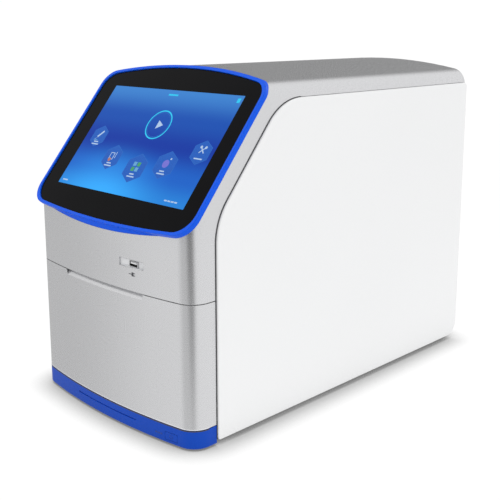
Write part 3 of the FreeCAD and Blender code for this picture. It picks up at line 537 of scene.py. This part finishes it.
px, py = TILES["pencil"][:2]
symbol("picture_pencil", [bar(px + 1, py + 3, 11, 2.4, math.radians(50)),
                          [(px - 4.6, py - 3.9), (px - 2.0, py - 1.4), (px - 5.2, py - 5.4)]], white_ink, 1)
symbol("pencil_line", [bar(px - 3, py - 5.2, 7, 0.9)], pale_ink, 2)
sx, sy = TILES["sheets"][:2]
symbol("picture_sheets", [bar(sx - 1.5, sy + 5.5, 7, 0.9), bar(sx - 1.5, sy - 2.5, 7, 0.9),
                          bar(sx - 4.6, sy + 1.5, 0.9, 8), bar(sx + 1.6, sy + 1.5, 0.9, 8),
                          bar(sx + 4.6, sy + 3.2, 0.9, 8)], white_ink, 1)
symbol("sheets_mark", [disc(sx - 2.5, sy - 3.2, 2.4, 24)], orange_ink, 2)
qx, qy = TILES["squares"][:2]
symbol("picture_squares", [bar(qx - 3, qy + 5, 5, 5), bar(qx + 3.4, qy - 1.4, 5, 5)], pale_ink, 1)
symbol("squares_mark", [bar(qx + 3.4, qy + 5, 5, 5), bar(qx - 3, qy - 1.4, 5, 5)], green_ink, 1)
dx, dy = TILES["disc"][:2]
symbol("picture_disc", [disc(dx, dy + 1.5, 4.8)], violet_ink, 1)
symbol("disc_mark", [disc(dx + 4.5, dy + 8, 1.2, 20)], white_ink, 2)
tx, ty = TILES["tools"][:2]
handles = [bar(tx, ty + 3, 10, 1.3, math.radians(turn)) for turn in (45, -45)]
heads = [disc(tx + reach, ty + 6.5, 1.7, 20) for reach in (3.5, -3.5)]
symbol("picture_tools", handles + heads, white_ink, 1)
print(len(TILES), "tiles")

# %% Page furniture
symbol("page_title", [bar(0.5, 61.5, 16, 2.1)], cyan_ink)
symbol("page_corner", [bar(103, 61.5, 4.4, 5.5)], cyan_ink)
symbol("page_foot_left", [bar(-98.5, -63, 9, 1.7)], white_ink)
symbol("page_foot_right", [bar(78 + 5.2 * i, -62.3, 4.2, 1.6) for i in range(4)], white_ink)

# %% [markdown]
# ## Standby mark and socket mark
# The key at the right of the trim carries the usual power symbol, an open circle with a line, and the
# socket has a plain plug under it. Both are inked on a curved front, so a ray pushes each corner of a print
# back to the surface behind it. The ink starts a little under the surface and stands a little out of it.

# %% Prints on the curved front
BACKWARDS = Vector((0, 1, 0))
RAY_START = 50 * MM
INK_SUNK = 0.02 * MM
INK_PROUD = 0.05 * MM


def printed(name, node, outlines, x, z, ink, body="root"):
    """A thin print on a node's front, in millimetres about a point, following the surface."""
    shape = bmesh.new()
    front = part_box(node)[0].y
    for outline in outlines:
        under, over = [], []
        for u, v in outline:
            start = Vector((x + u * MM, front - RAY_START, z + v * MM))
            found, point, _, _ = NODES[node].ray_cast(start, BACKWARDS)
            if not found:
                point = Vector((start.x, front, start.z))
            under.append(shape.verts.new(point + BACKWARDS * INK_SUNK))
            over.append(shape.verts.new(point - BACKWARDS * INK_PROUD))
        skin(shape, [under, over])
    piece = closed_piece(name, shape, ink)
    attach(piece, body)
    return piece


dark_ink = finish("dark_ink", (0.05, 0.052, 0.06), drift=0.1, rough=(0.4, 0.5), grain_scale=900, bump=0.05)
deep_blue_ink = finish("deep_blue_ink", (0.004, 0.035, 0.25), drift=0.05, rough=(0.4, 0.5), grain_scale=900,
                       bump=0.05)
key_low, key_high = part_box("standby_key")
key_x, key_z = (key_low.x + key_high.x) / 2, (key_low.z + key_high.z) / 2
standby = band(0, 0, 1.9, 0.4, 32, math.pi / 2, 0.1, 0.9) + [bar(0, 1.5, 0.4, 1.9)]
printed("standby_mark", "standby_key", standby, key_x, key_z, deep_blue_ink, "key")
caption = [bar(-3.5 + 3.6 * i, 0, 2.6, 1.6) for i in range(3)]
printed("standby_caption", "base_trim", caption, key_x - 17 * MM, key_z, deep_blue_ink)
port_low, port_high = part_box("usb_port")
port_x, port_z = (port_low.x + port_high.x) / 2, port_low.z
plug_mark = [bar(-2.6, 0, 4.4, 0.9), bar(0.9, 0, 2.8, 4.2), bar(3.4, 1.2, 2.4, 0.9), bar(3.4, -1.2, 2.4, 0.9)]
printed("socket_mark", "upper_shell", plug_mark, port_x - 2 * MM, port_z - 8 * MM, dark_ink)

# %% [markdown]
# ## Painted joint shadows and a painted edge highlight
# A dark strip of painted shadow lies in the joint along each side panel's front, slope and top, another lies
# between the drawer and the trim, and a pale strip along the drawer's lower edge is a painted highlight. They
# are thin strips laid along a piece's own outline, which is the outermost ring of its corners seen from one
# side, and each strip starts on that outline and reaches outwards.

# %% Strips along an outline
OVERLAP = 0.1 * MM


def turn_of(start, middle, end):
    """Positive where three points turn left."""
    return (middle[0] - start[0]) * (end[1] - start[1]) - (middle[1] - start[1]) * (end[0] - start[0])


def girth(node, first, second, where):
    """The outermost outline of a node's corners that pass a test, seen in two axes, in order."""
    corners = {(round(vertex.co[first], 5), round(vertex.co[second], 5))
               for vertex in NODES[node].data.vertices if where(vertex.co)}

    def half(run):
        chain = []
        for point in run:
            while len(chain) > 1 and turn_of(chain[-2], chain[-1], point) <= 0:
                chain.pop()
            chain.append(point)
        return chain[:-1]

    return half(sorted(corners)) + half(sorted(corners, reverse=True))


def stretch_of(loop, wanted):
    """The run of a closed loop's points that passes a test, in order."""
    begin = next(i for i, point in enumerate(loop) if wanted(point) and not wanted(loop[i - 1]))
    turned = loop[begin:] + loop[:begin]
    return [point for point in turned if wanted(point)]


def strip(name, path, axes, level, thick, wide, material, body="root"):
    """A thin strip along an open path in two axes, from a level along the third axis."""
    third = 3 - axes[0] - axes[1]
    shape = bmesh.new()
    rings = []
    for i, point in enumerate(path):
        back, ahead = path[max(0, i - 1)], path[min(len(path) - 1, i + 1)]
        along = Vector((ahead[0] - back[0], ahead[1] - back[1])).normalized()
        away = Vector((along.y, -along.x))
        ring = []
        for reach, height in ((-OVERLAP, 0), (wide, 0), (wide, thick), (-OVERLAP, thick)):
            corner = Vector()
            corner[axes[0]] = point[0] + away.x * reach
            corner[axes[1]] = point[1] + away.y * reach
            corner[third] = level + height
            ring.append(shape.verts.new(corner))
        rings.append(ring)
    skin(shape, rings)
    piece = closed_piece(name, shape, material)
    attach(piece, body)
    return piece


# %% Painted joint shadows and edge highlight
# Painted shadow: this near-black finish stands for the shade in the joints between panels, shell, drawer and
# trim.
joint_shadow_paint = finish("painted_joint_shadow", (0.045, 0.045, 0.05), drift=0.1, rough=(0.5, 0.6), grain_scale=900, bump=0.05,
              edge=0)
# Painted highlight: this pale finish stands for light caught on the drawer's lower edge.
edge_highlight_paint = finish("painted_edge_highlight", (0.86, 0.86, 0.87), drift=0.02, rough=(0.2, 0.26), grain_scale=900,
                  bump=0.0, edge=0, Metallic=0.4)
SHELL_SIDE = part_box("upper_shell")[1].x + 0.02 * MM
JOINT_SHADOW_WIDE, JOINT_SHADOW_THICK = 1.1 * MM, 0.4 * MM
FRONT_REACH = 40 * MM
# Painted shadow along each side panel's front, slope and top, on the shell's side.
for side, outside in (("left", -1), ("right", 1)):
    panel_low, panel_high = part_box("side_panel_" + side)
    loop = girth("side_panel_" + side, 1, 2, lambda corner: True)
    path = stretch_of(loop, lambda point: point[0] < panel_high.y - 8 * MM and
                      (point[1] > panel_low.z + 4 * MM or point[0] < panel_low.y + 0.5 * MM))
    strip("panel_joint_shadow_" + side, path, (1, 2), outside * SHELL_SIDE, outside * JOINT_SHADOW_THICK, JOINT_SHADOW_WIDE, joint_shadow_paint)

# Painted shadow along the top of the trim, under the drawer.
trim_low, trim_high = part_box("base_trim")
loop = girth("base_trim", 0, 1, lambda corner: corner.z > trim_high.z - 0.2 * MM)
path = stretch_of(loop, lambda point: point[1] < trim_low.y + FRONT_REACH)
strip("trim_joint_shadow", path, (0, 1), trim_high.z - 0.9 * MM, 1.0 * MM, 0.12 * MM, joint_shadow_paint)
# Painted highlight along the drawer's lower edge.
drawer_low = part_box("drawer_front")[0]
loop = girth("drawer_front", 0, 1, lambda corner: corner.z < drawer_low.z + 0.2 * MM)
path = stretch_of(loop, lambda point: point[1] < drawer_low.y + FRONT_REACH)
strip("drawer_edge_highlight", path, (0, 1), drawer_low.z + 0.1 * MM, 0.8 * MM, 0.1 * MM, edge_highlight_paint, "drawer")
# The seals printed here are the painted joint shadows.
print("seals round both panels and under the drawer")

# %% [markdown]
# The front socket sits at the back of a shallow pocket. A pale strip along the pocket's lower wall is a
# painted highlight, where light catches that wall, and a white tongue shows in the mouth of the socket.

# %% Socket pocket
pocket_low, pocket_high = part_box("usb_recess")
UPRIGHT = Matrix(((1, 0, 0, 0), (0, 0, -1, 0), (0, 1, 0, 0), (0, 0, 0, 1)))
pocket_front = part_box("upper_shell")[0].y + 1.0 * MM
depth = pocket_low.y - pocket_front
# Painted highlight: a pale bar along the pocket's lower wall, where light catches it.
highlight_bar = [bar((pocket_low.x + pocket_high.x) / 2, pocket_low.z + 0.75 * MM, 34.5 * MM, 0.35 * MM)]
plate("pocket_painted_highlight", highlight_bar, -pocket_low.y, depth, white_plastic_and_highlight, UPRIGHT)
plate("socket_tongue", [bar(port_x, (port_low.z + port_high.z) / 2 + 0.9 * MM, 9.6 * MM, 1.7 * MM)],
      -port_low.y - 1.5 * MM, 1.2 * MM, white_plastic_and_highlight, UPRIGHT)

# %% [markdown]
# ## Rear plate and markings
# A rating plate sits low on the rear wall, with rows of blank bars instead of words, and each data socket
# has a blank bar above it. They are placed from the boxes of the sockets beside them.

# %% Rear markings
PLATE_THICK, LABEL_THICK = 0.15 * MM, 0.05 * MM
rear_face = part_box("rear_panel")[1].y
inlet_low, inlet_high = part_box("mains_inlet")
BACK_PLACE = Matrix(((-1, 0, 0, 0), (0, 0, 1, rear_face), (0, 1, 0, 0), (0, 0, 0, 1)))
label_x = -(inlet_low.x + inlet_high.x) / 2
label_z = inlet_high.z + 30 * MM
foil = finish("label_foil", (0.62, 0.63, 0.65), drift=0.03, rough=(0.3, 0.4), grain_scale=900, bump=0.02,
              Metallic=0.6)
plate("rating_plate", [rounded(58 * MM, 34 * MM, 2 * MM, label_x, label_z)], 0.0, PLATE_THICK, foil,
      BACK_PLACE)
rows = [bar(label_x - 6 * MM, label_z + (11 - 4.4 * i) * MM, (38 - 5 * (i % 3)) * MM, 1.3 * MM)
        for i in range(6)]
plate("rating_rows", rows, PLATE_THICK, LABEL_THICK, dark_ink, BACK_PLACE)
socket_low, socket_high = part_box("data_sockets")
marks = [bar(-x, socket_high.z + 6 * MM, 7 * MM, 1.1 * MM)
         for x in (socket_low.x + 8 * MM, socket_high.x - 6 * MM)]
plate("socket_labels", marks, 0.0, LABEL_THICK, dark_ink, BACK_PLACE)
print("rating plate at", round(-label_x, 3), round(label_z, 3))

# %% [markdown]
# ## Screw threads
# The three lead screws are plain rods in the frame, at the thread's outer diameter. A thread is a groove
# that winds round the rod, so each rod gets a lathe-like skin: rings of points whose radius dips once per
# start and turn. The lead is the travel of the nut in one turn: 8 mm on the drawer, cut as two starts, and
# 2 mm on the lid.

# %% Screw threads
DRAWER_LEAD = 8 * MM
LID_LEAD = 2 * MM
AROUND, PER_TURN = 24, 12


def threaded(node, body, axis, lead, starts, depth):
    """A threaded rod in a plain rod's place: the lead is how far one turn carries its nut."""
    low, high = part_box(node)
    middle = (low + high) / 2
    length = (high - low)[axis]
    radius = (high - low)[(axis + 1) % 3] / 2
    count = int(length / lead * starts * PER_TURN)
    shape = bmesh.new()
    rings = []
    for i in range(count + 1):
        along = low[axis] + length * i / count
        ring = []
        for k in range(AROUND):
            angle = 2 * math.pi * k / AROUND
            phase = (along / lead - k / AROUND) * starts % 1.0
            dip = depth if i in (0, count) else depth * max(0.0, 1 - abs(phase - 0.5) * 4)
            point = Vector(middle)
            point[axis] = along
            point[(axis + 1) % 3] += (radius - dip) * math.cos(angle)
            point[(axis + 2) % 3] += (radius - dip) * math.sin(angle)
            ring.append(shape.verts.new(point))
        rings.append(ring)
    skin(shape, rings)
    piece = closed_piece(node + "_thread", shape, steel)
    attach(piece, body)
    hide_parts(node)
    return piece


threaded("drawer_screw", "drawer_leadscrew", 1, DRAWER_LEAD, 2, 0.9 * MM)
threaded("lid_screw_left", "lid_leadscrew_left", 2, LID_LEAD, 1, 0.6 * MM)
threaded("lid_screw_right", "lid_leadscrew_right", 2, LID_LEAD, 1, 0.6 * MM)

# %% [markdown]
# ## Studio
# The instrument stands on a white sweep in a white room. A silver case only shows what it mirrors, so the
# room matters more than the lamps: white almost everywhere, grey low down behind, which darkens the top
# cover, a little grey in front and at the left, and a narrow dark flag beside the viewer, which draws the
# dark line down the front's corner.
#
# The floor glows evenly and darkens only where something stands close above it, which is what ambient
# occlusion measures. That gives the soft grey contact shadow of a light table without a blue cast from the
# trim.

# %% Floor
FLOOR_RADIUS = 0.8
SHADOW_REACH = 0.036
FLOOR_SIDES = 96
floor_mesh = bpy.data.meshes.new("floor")
floor_rim = [(x, y, 0) for x, y in disc(0, 0, FLOOR_RADIUS, FLOOR_SIDES)]
floor_mesh.from_pydata(floor_rim, [], [range(FLOOR_SIDES)])
floor = bpy.data.objects.new("floor", floor_mesh)
bpy.context.collection.objects.link(floor)
floor_paint = bpy.data.materials.new("floor_paint")
floor_paint.use_nodes = True
table = floor_paint.node_tree
closeness = table.nodes.new("ShaderNodeAmbientOcclusion")
closeness.inputs["Distance"].default_value = SHADOW_REACH
closeness.samples = 8
glow = table.nodes.new("ShaderNodeMapRange")
glow.inputs["From Min"].default_value = 0.25
glow.inputs["From Max"].default_value = 0.97
glow.inputs["To Min"].default_value = 0.2
glow.inputs["To Max"].default_value = 1.04
link(table, closeness.outputs["AO"], glow.inputs["Value"])
floor_shader = table.nodes["Principled BSDF"]
floor_shader.inputs["Base Color"].default_value = (0, 0, 0, 1)
floor_shader.inputs["Specular IOR Level"].default_value = 0
floor_shader.inputs["Emission Color"].default_value = (1, 1, 1, 1)
link(table, glow.outputs["Result"], floor_shader.inputs["Emission Strength"])
floor_mesh.materials.append(floor_paint)
floor.visible_glossy = False

# %% World
world = bpy.data.worlds.new("studio")
bpy.context.scene.world = world
world.use_nodes = True
sky = world.node_tree
background = sky.nodes["Background"]
direction = sky.nodes.new("ShaderNodeTexCoord").outputs["Generated"]


def patch(turn, rise, inside, outside, value):
    """One, falling to a value in a soft round area of the room, given by its turn and rise in degrees."""
    across = math.cos(math.radians(rise))
    towards = (across * math.cos(math.radians(turn)), across * math.sin(math.radians(turn)),
               math.sin(math.radians(rise)))
    dot = sky.nodes.new("ShaderNodeVectorMath")
    dot.operation = "DOT_PRODUCT"
    dot.inputs[1].default_value = towards
    link(sky, direction, dot.inputs[0])
    ranger = sky.nodes.new("ShaderNodeMapRange")
    ranger.interpolation_type = "SMOOTHSTEP"
    ranger.inputs["From Min"].default_value = math.cos(math.radians(outside))
    ranger.inputs["From Max"].default_value = math.cos(math.radians(inside))
    ranger.inputs["To Min"].default_value = 1.0
    ranger.inputs["To Max"].default_value = value
    link(sky, dot.outputs["Value"], ranger.inputs["Value"])
    return ranger.outputs["Result"]


def product(first, second):
    """Two factors multiplied."""
    node = sky.nodes.new("ShaderNodeMath")
    node.operation = "MULTIPLY"
    link(sky, first, node.inputs[0])
    link(sky, second, node.inputs[1])
    return node.outputs["Value"]


DARK_FLAG = (-50, -4, 8, 28, 0.04)
FRONT_GREY = (-86, -8, 8, 36, 0.62)
LEFT_GREY = (180, -20, 5, 60, 0.6)
BACK_GREY = (135, 12, 16, 46, 0.26)
shade = patch(*DARK_FLAG)
for area in (FRONT_GREY, LEFT_GREY, BACK_GREY):
    shade = product(shade, patch(*area))
seen = sky.nodes.new("ShaderNodeLightPath").outputs["Is Camera Ray"]
lighten = sky.nodes.new("ShaderNodeMath")
lighten.operation = "MAXIMUM"
link(sky, shade, lighten.inputs[0])
link(sky, seen, lighten.inputs[1])
link(sky, lighten.outputs["Value"], background.inputs["Color"])
background.inputs["Strength"].default_value = 1.02


# %% Lamps
def softbox(name, place, aim, wide, tall, power):
    """A rectangular area lamp aimed at a point."""
    lamp = bpy.data.lights.new(name, "AREA")
    lamp.shape = "RECTANGLE"
    lamp.size, lamp.size_y = wide, tall
    lamp.energy = power
    piece = bpy.data.objects.new(name, lamp)
    piece.location = place
    piece.rotation_euler = (Vector(aim) - Vector(place)).to_track_quat("-Z", "Y").to_euler()
    piece.visible_glossy = False
    bpy.context.collection.objects.link(piece)
    return piece


softbox("key_lamp", (-1.3, -1.5, 1.5), (0, -0.1, 0.2), 1.2, 1.2, 3)
softbox("side_lamp", (1.3, -0.5, 0.9), (0.1, -0.1, 0.25), 0.9, 0.9, 2)
softbox("top_lamp", (0, 0.1, 2.2), (0, 0, 0), 1.6, 1.6, 3)
